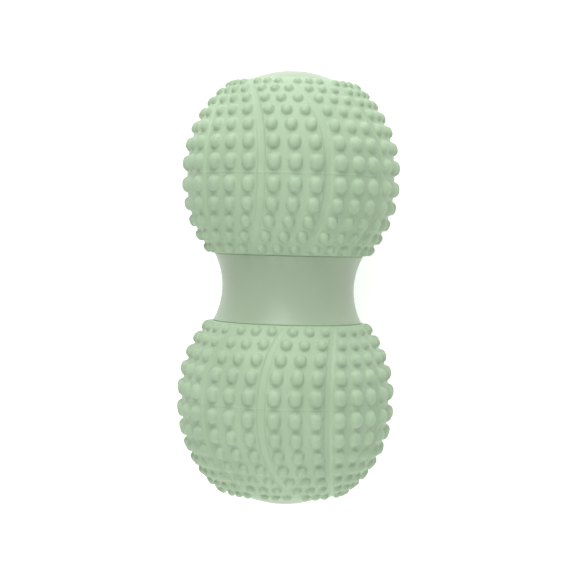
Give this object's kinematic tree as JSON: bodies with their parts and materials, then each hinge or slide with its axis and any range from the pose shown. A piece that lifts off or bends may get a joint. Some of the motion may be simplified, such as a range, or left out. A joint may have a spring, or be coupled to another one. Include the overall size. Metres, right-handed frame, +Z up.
{
  "type": "peanut massage ball",
  "caption": "Peanut-shaped massage ball: a hard core with a smooth waist and domed ends, and a soft nubbed sleeve over each of its two balls.",
  "frame": {"origin": "on the surface that the ball rests on, under the middle of its waist", "axes": "+X along the long axis, +Z up from the surface"},
  "size_m": [0.16, 0.0806, 0.0804],
  "materials": {
    "core_plastic": "satin",
    "sleeve_rubber": "matte"
  },
  "bodies": {
    "root": {"core": "core_plastic", "right_sleeve": "sleeve_rubber", "left_sleeve": "sleeve_rubber"}
  },
  "joints": []
}
